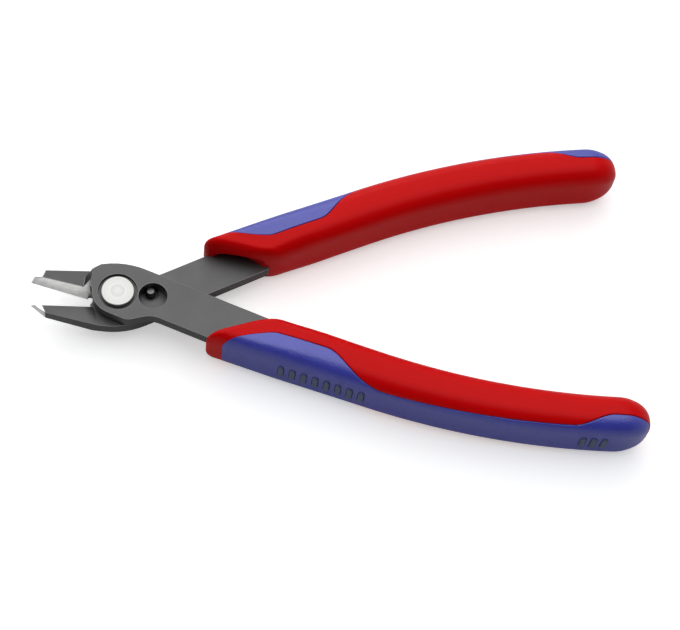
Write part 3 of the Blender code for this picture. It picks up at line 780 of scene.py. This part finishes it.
    def stud_rings(self, along: float, grow: float, profile: np.ndarray) -> np.ndarray:
        """Carries a slot-shaped loop up a profile, square to the grip's outer edge.

        The loop is two half circles joined by straight sides.  Each level of the profile moves the loop out
        from the edge and shrinks its half circles.

        Args:
            along: The stud's distance from the grip's nose.
            grow: How much wider than the stud the loop is.
            profile: The levels as an array of (inset, distance out from the edge).

        Returns:
            Rings of points, one at each level.
        """
        half_turn = np.linspace(0, math.pi, self.stud_steps)
        angle = np.concatenate([half_turn, math.pi + half_turn])
        end = np.repeat([1, -1], self.stud_steps) * (self.stud_length - self.stud_width) / 2
        radius = self.stud_width / 2 + grow - profile[:, :1]
        point, heading = self.outer_edge(np.array([along]))
        ahead = np.array([math.cos(heading[0]), math.sin(heading[0])])
        out = np.array([ahead[1], -ahead[0]])
        flat = radius[..., None] * np.cos(angle)[:, None] * ahead
        flat = point[0] + flat + profile[:, 1][:, None, None] * out
        height = end + radius * np.sin(angle)
        return np.concatenate([flat, height[..., None]], -1)

    def build(self, half: Half, materials: dict[str, bpy.types.Material]) -> None:
        """Builds the grip's pieces on one half of the tool and dresses them.

        Args:
            half: The half of the tool.
            materials: The finishes' materials by name.
        """
        core = solid(f"{half.label}_grip_hard_core", half.place(self.core_rings()))
        cut(core, [solid("mouth", half.place(self.mouth_rings()))])
        panel = solid(f"{half.label}_grip_soft_panel", half.place(self.panel_rings()))
        turn = quarter(self.stud_round_steps)
        rounding = np.column_stack([self.stud_round * (1 - np.cos(turn)), self.stud_round * np.sin(turn)])
        shoulder = self.stud_proud - self.stud_round
        crown = np.array([[self.stud_width / 2 - self.stud_ridge, self.stud_proud]])
        foot = np.array([[0.0, -self.stud_depth]])
        profile = np.concatenate([foot, rounding + [0, shoulder], crown])
        pocket = np.array([[0.0, -self.stud_depth - self.mould_line], [0.0, self.stud_length]])
        pockets = []
        for name, along in self.stud_places().items():
            pockets.append(solid("pocket", half.place(self.stud_rings(along, self.mould_line, pocket))))
            stud = solid(f"{half.label}_stud_{name}", half.place(self.stud_rings(along, 0.0, profile)))
            stud.data.materials.append(materials[SLATE.name])
            install(stud, half, SLATE, f"{half.label}_grip_stud_{name}")
        cut(panel, pockets)
        for piece, finish, node in ((core, RED, "core"), (panel, BLUE, "panel")):
            piece.data.materials.clear()
            piece.data.materials.append(materials[finish.name])
            tidy(piece.data)
            install(piece, half, finish, f"{half.label}_grip_{node}")


@dataclass(frozen=True)
class Lever:
    """A steel lever: its CAD shape with broken edges, and the cutting faces ground bare."""

    break_width: float = 0.09 * MM
    break_segments: int = 2
    edge_angle: float = math.radians(22.0)
    flat_angle: float = math.radians(0.3)
    flat_weight: int = 100
    sliver: float = 0.02 * MM
    bevel: float = math.radians(24.5)
    flush: float = math.radians(20.0)
    tip_cut: float = math.radians(45.0)
    chamfer: float = math.radians(8.0)
    chamfer_turn: float = math.radians(45.0)
    jaw_start: float = 6.4 * MM
    ground_spread: float = math.radians(2.0)

    def ground_normals(self, half: Half) -> np.ndarray:
        """Gives the outward normals of the ground faces: bevel, tip, chamfer and flush underside.

        Args:
            half: The lever's half of the tool.

        Returns:
            Unit vectors of the closed tool as an array by three.
        """
        side = half.value
        sin, cos = math.sin, math.cos
        steep, flat = cos(self.bevel), sin(self.bevel)
        tilt, turn = self.chamfer, self.chamfer_turn
        bevel = [flat * sin(self.flush), -side * steep, flat * cos(self.flush)]
        tip = [-sin(self.tip_cut), side * cos(self.tip_cut), 0]
        chamfer = [-sin(tilt) * cos(turn), side * sin(tilt) * sin(turn), cos(tilt)]
        underside = [-sin(self.flush), 0, -cos(self.flush)]
        return np.array([bevel, tip, chamfer, underside])

    def build(self, half: Half, node: bpy.types.Object, materials: dict[str, bpy.types.Material]) -> None:
        """Copies the CAD lever, breaks its edges and sets its finishes.

        Args:
            half: The lever's half of the tool.
            node: The CAD lever.
            materials: The finishes' materials by name.
        """
        mesh = node.data.copy()
        tidy(mesh)
        angle = half.value * OPENING / 2
        join_flats(mesh, self.flat_angle, self.sliver, Vector((math.sin(angle), math.cos(angle), 0.0)))
        piece = bpy.data.objects.new(f"{half.label}_lever_steel", mesh)
        bpy.context.scene.collection.objects.link(piece)
        mesh.materials.clear()
        finishes = (BURNISHED, GROUND, EDGE_HIGHLIGHT_STEEL)
        for finish in finishes:
            mesh.materials.append(materials[finish.name])
        normals = np.empty(len(mesh.polygons) * 3)
        centres = np.empty(len(mesh.polygons) * 3)
        mesh.polygons.foreach_get("normal", normals)
        mesh.polygons.foreach_get("center", centres)
        # A ground face lies in the jaw and has the normal of one of the ground planes.
        turn = turning(angle)
        closed = normals.reshape(-1, 3) @ turn.T
        x = ((centres.reshape(-1, 3) - PIVOT) @ turn.T)[:, 0]
        likeness = (closed @ self.ground_normals(half).T).max(1)
        ground = (likeness > math.cos(self.ground_spread)) & (x < -self.jaw_start)
        numbers = np.where(ground, finishes.index(GROUND), finishes.index(BURNISHED))
        mesh.polygons.foreach_set("material_index", numbers.astype(np.int32))
        bevel = piece.modifiers.new("broken_edges", "BEVEL")
        bevel.width = self.break_width
        bevel.segments = self.break_segments
        bevel.limit_method = "ANGLE"
        bevel.angle_limit = self.edge_angle
        bevel.use_clamp_overlap = False
        # The broken edges get the lighter grey steel, a painted edge highlight.
        bevel.material = finishes.index(EDGE_HIGHLIGHT_STEEL)
        # The large faces set the normals at their corners, and so are shaded flat up to the broken edge.
        weighting = piece.modifiers.new("flat_shading", "WEIGHTED_NORMAL")
        weighting.weight = self.flat_weight
        install(piece, half, BURNISHED, node.name)


@dataclass(frozen=True)
class Pivot:
    """The rivet through both levers, the pin that stops them open, and the spring between them."""

    head: float = 3.7 * MM
    shank: float = 2.6 * MM
    plate_top: float = 3.0 * MM
    seat: float = 0.85 * MM
    proud: float = 0.35 * MM
    edge: float = 0.30 * MM
    edge_steps: int = 7
    # The face's points run between these shares of its radius, and a cap closes the middle.
    face_span: tuple[float, float] = (0.96, 0.001)
    face_steps: int = 24
    rivet_steps: int = 128

    pin_reach: float = 7.35 * MM
    pin_radius: float = 0.90 * MM
    pin_rise: float = 1.3 * MM
    pin_edge: float = 0.15 * MM
    pin_foot: float = -2.15 * MM
    pin_middle: float = 0.02
    pin_edge_steps: int = 6
    pin_steps: int = 48

    @staticmethod
    def rim(radius: float, top: float, edge: float, steps: int) -> np.ndarray:
        """Rounds a rim by a quarter circle.

        Args:
            radius: The radius below the rim.
            top: The height inside the rim.
            edge: The quarter circle's own radius.
            steps: The number of points.

        Returns:
            Points as an array of (radius, height), from the side to the top.
        """
        turn = quarter(steps)
        return np.column_stack([radius - edge * (1 - np.cos(turn)), top - edge * (1 - np.sin(turn))])

    def rivet_profile(self) -> np.ndarray:
        """Works out the rivet's profile: a shank between two heads with rounded rims and flat faces.

        Returns:
            Points as an array of (radius, height), lowest first.
        """
        top = self.plate_top + self.proud
        seat = self.plate_top - self.seat
        under = [[self.shank, seat], [self.head, seat]]
        rim = self.rim(self.head, top, self.edge, self.edge_steps)
        radius = np.linspace(*self.face_span, self.face_steps) * (self.head - self.edge)
        face = np.column_stack([radius, np.full(self.face_steps, top)])
        upper = np.concatenate([under, rim, face])
        return np.concatenate([upper[::-1] * [1, -1], upper])

    def pin_profile(self) -> np.ndarray:
        """Works out the pin's profile: straight sides and a rounded top.

        Returns:
            Points as an array of (radius, height), lowest first.
        """
        middle = self.pin_middle * self.pin_radius
        foot = [[middle, self.pin_foot], [self.pin_radius, self.pin_foot]]
        rim = self.rim(self.pin_radius, self.pin_rise, self.pin_edge, self.pin_edge_steps)
        return np.concatenate([foot, rim, [[middle, self.pin_rise]]])

    def build(self, nodes: dict[str, bpy.types.Object], materials: dict[str, bpy.types.Material]) -> None:
        """Builds the rivet and the pin, and dresses the spring.

        Args:
            nodes: The CAD nodes by name.
            materials: The finishes' materials by name.
        """
        rings = turned(self.rivet_profile(), (0.0, 0.0), self.rivet_steps)
        rivet = solid("pivot_rivet_faced", Half.FRONT.place(rings))
        rivet.data.materials.append(materials[POLISHED.name])
        install(rivet, Half.FRONT, POLISHED, "pivot_rivet")
        rings = turned(self.pin_profile(), (self.pin_reach, 0.0), self.pin_steps) * [1, 1, -1]
        pin = solid("stop_pin_rounded", Half.REAR.place(rings))
        pin.data.materials.append(materials[PIN.name])
        install(pin, Half.REAR, PIN, "stop_pin")
        spring = nodes["opening_spring"]
        spring.data.materials.clear()
        spring.data.materials.append(materials[WIRE.name])


@dataclass(frozen=True)
class Lamp:
    """A soft rectangular lamp: its place, the point it faces, its width and depth, and its power in watts."""

    name: str
    place: tuple[float, float, float]
    aim: tuple[float, float, float]
    size: tuple[float, float]
    power: float

    def build(self) -> None:
        """Hangs the lamp."""
        light = bpy.data.lights.new(self.name, "AREA")
        light.shape = "RECTANGLE"
        light.size, light.size_y = self.size
        light.energy = self.power
        made = bpy.data.objects.new(self.name, light)
        bpy.context.scene.collection.objects.link(made)
        made.location = self.place
        made.rotation_euler = (Vector(self.place) - Vector(self.aim)).to_track_quat("Z", "Y").to_euler()


@dataclass(frozen=True)
class Studio:
    """The pale floor, the soft lamps and the camera at the photograph's angle."""

    overhead: Lamp = Lamp("overhead", (0.0, 0.30, 0.75), (0.0, 0.30, 0.0), (1.2, 1.2), 6.6)
    back: Lamp = Lamp("back", (-0.15, 1.1, 0.55), (0.0, 0.0, 0.0), (0.9, 0.4), 2.4)
    azimuth: float = math.radians(-12.694)
    elevation: float = math.radians(61.8734)
    roll: float = math.radians(11.0137)
    distance: float = 0.4257
    target: tuple[float, float, float] = (0.0006963, -0.0045213, 0.0071775)
    focal_pixels: float = 1893.6869
    image_width: int = 680
    sensor: float = 36.0
    floor_size: float = 3.0
    floor_gap: float = 0.02 * MM
    floor_colour: str = "#eceded"
    floor_glow: float = 0.48
    world_strength: float = 0.22
    dark_side: tuple[float, float, float] = (0.1, -0.95, 0.3)
    dark_edge: tuple[float, float] = (0.2, 0.85)
    dark_share: float = 0.2

    def camera(self) -> None:
        """Sets the camera: it looks back along its azimuth and elevation, turned by its roll."""
        back = Vector(
            (
                math.sin(self.azimuth) * math.cos(self.elevation),
                -math.cos(self.azimuth) * math.cos(self.elevation),
                math.sin(self.elevation),
            )
        )
        right = (-back).cross(Vector((0, 0, 1))).normalized()
        up = right.cross(-back)
        tilted_right = math.cos(self.roll) * right + math.sin(self.roll) * up
        tilted_up = math.cos(self.roll) * up - math.sin(self.roll) * right
        lens = bpy.data.cameras.new("camera")
        lens.sensor_fit = "HORIZONTAL"
        lens.sensor_width = self.sensor
        lens.lens = self.focal_pixels * self.sensor / self.image_width
        made = bpy.data.objects.new("camera", lens)
        bpy.context.scene.collection.objects.link(made)
        matrix = Matrix((tilted_right, tilted_up, back)).transposed().to_4x4()
        matrix.translation = Vector(self.target) + self.distance * back
        made.matrix_world = matrix
        bpy.context.scene.camera = made

    def floor(self) -> None:
        """Lays the floor, to which a glow is added for the camera alone, so that it is seen as white."""
        half = self.floor_size / 2
        mesh = bpy.data.meshes.new("floor")
        corners = np.array([[-half, -half], [half, -half], [half, half], [-half, half]])
        corners = np.column_stack([corners, np.full(4, -self.floor_gap)])
        mesh.from_pydata(corners, [], [[0, 1, 2, 3]])
        made = bpy.data.objects.new("floor", mesh)
        bpy.context.scene.collection.objects.link(made)
        material = bpy.data.materials.new("pale_studio_floor")
        material.use_nodes = True
        tree = material.node_tree
        tree.nodes.clear()
        matt = add_node(tree, "ShaderNodeBsdfDiffuse", {"Color": linear(self.floor_colour)})
        seen = add_node(tree, "ShaderNodeLightPath").outputs["Is Camera Ray"]
        share = add_node(tree, "ShaderNodeMath", {0: seen, 1: self.floor_glow}, operation="MULTIPLY")
        glow = add_node(tree, "ShaderNodeEmission", {"Color": WHITE, "Strength": share.outputs[0]})
        summed = add_node(tree, "ShaderNodeAddShader", {0: matt.outputs[0], 1: glow.outputs[0]})
        add_node(tree, "ShaderNodeOutputMaterial", {"Surface": summed.outputs[0]})
        mesh.materials.append(material)

    def world(self) -> None:
        """Lights the scene softly from all round, but for a dark side low in front of the tool.

        The closer a ray's direction is to the dark side's, the more the light is faded.  Reflections show
        the surroundings at full strength, and the camera sees a white ground past the floor.
        """
        made = bpy.data.worlds.new("studio")
        made.use_nodes = True
        tree = made.node_tree
        tree.nodes.clear()
        path = add_node(tree, "ShaderNodeLightPath")
        # The incoming direction points back along the ray, so the dark side's direction is turned round.
        back = add_node(tree, "ShaderNodeNewGeometry").outputs["Incoming"]
        behind = [-value for value in self.dark_side]
        likeness = add_node(tree, "ShaderNodeVectorMath", {0: back, 1: behind}, operation="DOT_PRODUCT")
        first, last = self.dark_edge
        fade = {
            "Value": likeness.outputs["Value"],
            "From Min": first,
            "From Max": last,
            "To Min": 1.0,
            "To Max": self.dark_share,
        }
        shade = add_node(tree, "ShaderNodeMapRange", fade, interpolation_type="SMOOTHSTEP")
        levels = {"Value": path.outputs["Is Glossy Ray"], "To Min": self.world_strength, "To Max": 1.0}
        level = add_node(tree, "ShaderNodeMapRange", levels)
        factors = {0: shade.outputs[0], 1: level.outputs[0]}
        strength = add_node(tree, "ShaderNodeMath", factors, operation="MULTIPLY")
        light = add_node(tree, "ShaderNodeBackground", {"Color": WHITE, "Strength": strength.outputs[0]})
        ground = add_node(tree, "ShaderNodeBackground", {"Color": WHITE, "Strength": 1.0})
        seen = path.outputs["Is Camera Ray"]
        mixed = add_node(tree, "ShaderNodeMixShader", {0: seen, 1: light.outputs[0], 2: ground.outputs[0]})
        add_node(tree, "ShaderNodeOutputWorld", {"Surface": mixed.outputs[0]})
        bpy.context.scene.world = made

    def build(self) -> None:
        """Sets up the whole studio."""
        bpy.context.scene.view_settings.view_transform = "Standard"
        self.camera()
        self.floor()
        self.world()
        self.overhead.build()
        self.back.build()


def main() -> None:
    """Loads the frame, sets up the studio, and builds and dresses each sub-assembly in order."""
    logging.basicConfig(level=logging.INFO, format="%(name)s: %(message)s")
    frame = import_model()
    materials = {finish.name: finish.build() for finish in FINISHES}
    nodes = frame["nodes"]
    Studio().build()
    for half in Half:
        Lever().build(half, nodes[f"{half.label}_lever"], materials)
        Grip().build(half, materials)
    Pivot().build(nodes, materials)


if __name__ == "__main__":
    main()
